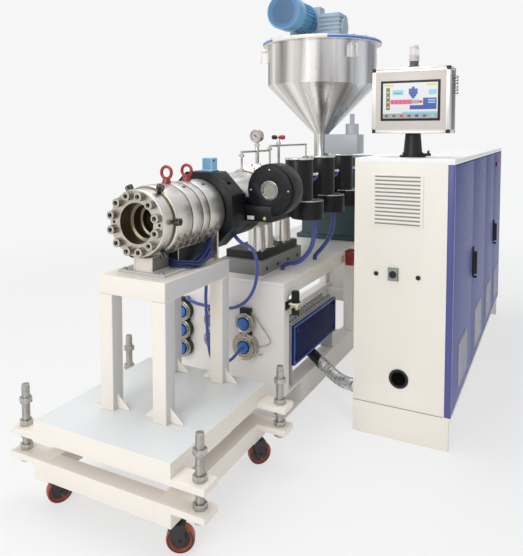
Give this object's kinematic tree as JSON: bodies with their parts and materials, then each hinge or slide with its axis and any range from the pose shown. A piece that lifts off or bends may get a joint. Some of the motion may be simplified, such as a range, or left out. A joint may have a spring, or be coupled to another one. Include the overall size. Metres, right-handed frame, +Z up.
{
  "type": "pipe extrusion line",
  "caption": "Pipe extrusion line: pipe die on a castor trolley, blower-cooled barrel with stirred hopper on a steel base, and a control cabinet with hinged doors and swivelling panel.",
  "frame": {"origin": "on the floor below the extrusion axis, on the underside of the base's front cross rail", "axes": "+X along the line from the die to the drive, +Z up, cabinet on the -Y side"},
  "size_m": [3.595, 1.592, 2.445],
  "materials": {
    "white_paint": "satin",
    "cream_paint": "satin",
    "deck_paint": "satin",
    "blue_paint": "satin",
    "black_plastic": "matte",
    "panel_metal": "satin",
    "lamp_plastic": "gloss",
    "grey_box": "satin",
    "navy_paint": "satin",
    "red_paint": "gloss",
    "socket_steel": "satin",
    "cap_blue": "gloss",
    "dark_steel": "satin",
    "bright_steel": "bright",
    "die_steel": "polished",
    "black_paint": "gloss",
    "pale_blue": "gloss",
    "throat_grey": "satin",
    "stainless": "brushed",
    "lid_cream": "satin",
    "reducer_grey": "satin",
    "motor_blue": "gloss",
    "gearbox_green": "satin",
    "fork_steel": "satin",
    "wheel_red": "satin",
    "hose_blue": "satin",
    "conduit_grey": "ribbed"
  },
  "bodies": {
    "machine": {"base_skids": "white_paint", "base_frame": "white_paint", "base_top": "white_paint", "base_panels": "white_paint", "stand": "cream_paint", "trolley_frame": "cream_paint", "cabinet_plinth": "cream_paint", "cabinet_walls": "cream_paint", "cabinet_roof": "cream_paint", "platform": "deck_paint", "cabinet_posts": "blue_paint", "end_fittings": "black_plastic", "hmi_pedestal": "black_plastic", "air_regulator": "black_plastic", "terminal_box": "grey_box", "terminal_cover": "navy_paint", "stop_box": "red_paint", "eye_bolts": "red_paint", "heater_sockets": "socket_steel", "socket_caps": "cap_blue", "barrel_support": "dark_steel", "die_saddle": "dark_steel", "barrel": "bright_steel", "pipework": "bright_steel", "blower_lids": "bright_steel", "jack_screws": "bright_steel", "die_screws": "bright_steel", "die_body": "die_steel", "heater_cover": "black_paint", "cooling_blowers": "black_paint", "sensor_box": "pale_blue", "feed_throat": "throat_grey", "hopper_shell": "stainless", "hopper_lid": "lid_cream", "mixer_gearbox": "reducer_grey", "mixer_motor": "motor_blue", "drive_motor": "motor_blue", "gearbox": "gearbox_green", "front_hose": "hose_blue", "drop_hose": "hose_blue", "zone_hose_1": "hose_blue", "zone_hose_2": "hose_blue", "cable_conduit": "conduit_grey"},
    "leaf_1": {"door_1": "blue_paint"},
    "leaf_2": {"door_2": "blue_paint", "door_2_handle": "black_plastic"},
    "leaf_3": {"door_3": "blue_paint"},
    "leaf_4": {"door_4": "blue_paint", "door_4_handle": "black_plastic"},
    "operator_panel": {"hmi_housing": "panel_metal", "hmi_trim": "black_plastic", "beacon": "lamp_plastic"},
    "swivel_1": {"castor_fork_1": "fork_steel"},
    "roller_1": {"castor_wheel_1": "wheel_red"},
    "swivel_2": {"castor_fork_2": "fork_steel"},
    "roller_2": {"castor_wheel_2": "wheel_red"},
    "swivel_3": {"castor_fork_3": "fork_steel"},
    "roller_3": {"castor_wheel_3": "wheel_red"},
    "swivel_4": {"castor_fork_4": "fork_steel"},
    "roller_4": {"castor_wheel_4": "wheel_red"}
  },
  "joints": [
    {"name": "door_1_hinge", "type": "hinge", "parent": "machine", "child": "leaf_1", "pos_m": [0.076, -1.082, 0.7], "axis": [0, 0, -1], "range_deg": [0, 90]},
    {"name": "door_2_hinge", "type": "hinge", "parent": "machine", "child": "leaf_2", "pos_m": [1.318, -1.082, 0.7], "axis": [0, 0, 1], "range_deg": [0, 90]},
    {"name": "door_3_hinge", "type": "hinge", "parent": "machine", "child": "leaf_3", "pos_m": [1.346, -1.082, 0.7], "axis": [0, 0, -1], "range_deg": [0, 90]},
    {"name": "door_4_hinge", "type": "hinge", "parent": "machine", "child": "leaf_4", "pos_m": [2.388, -1.082, 0.7], "axis": [0, 0, 1], "range_deg": [0, 90]},
    {"name": "panel_swivel", "type": "hinge", "parent": "machine", "child": "operator_panel", "pos_m": [0.232, -0.85, 1.522], "axis": [0, 0, 1], "range_deg": [-60, 60]},
    {"name": "castor_1_swivel", "type": "hinge", "parent": "machine", "child": "swivel_1", "pos_m": [-1.106, -0.301, 0.12], "axis": [0, 0, 1], "continuous": true},
    {"name": "castor_1_roll", "type": "hinge", "parent": "swivel_1", "child": "roller_1", "pos_m": [-1.091, -0.32698, 0.053], "axis": [0.866, 0.5, 0], "continuous": true},
    {"name": "castor_2_swivel", "type": "hinge", "parent": "machine", "child": "swivel_2", "pos_m": [-1.106, 0.301, 0.12], "axis": [0, 0, 1], "continuous": true},
    {"name": "castor_2_roll", "type": "hinge", "parent": "swivel_2", "child": "roller_2", "pos_m": [-1.08002, 0.286, 0.053], "axis": [0.5, 0.866, 0], "continuous": true},
    {"name": "castor_3_swivel", "type": "hinge", "parent": "machine", "child": "swivel_3", "pos_m": [-0.478, -0.301, 0.12], "axis": [0, 0, 1], "continuous": true},
    {"name": "castor_3_roll", "type": "hinge", "parent": "swivel_3", "child": "roller_3", "pos_m": [-0.45502, -0.32028, 0.053], "axis": [0.6428, 0.766, 0], "continuous": true},
    {"name": "castor_4_swivel", "type": "hinge", "parent": "machine", "child": "swivel_4", "pos_m": [-0.478, 0.301, 0.12], "axis": [0, 0, 1], "continuous": true},
    {"name": "castor_4_roll", "type": "hinge", "parent": "swivel_4", "child": "roller_4", "pos_m": [-0.493, 0.32698, 0.053], "axis": [-0.866, -0.5, 0], "continuous": true}
  ]
}
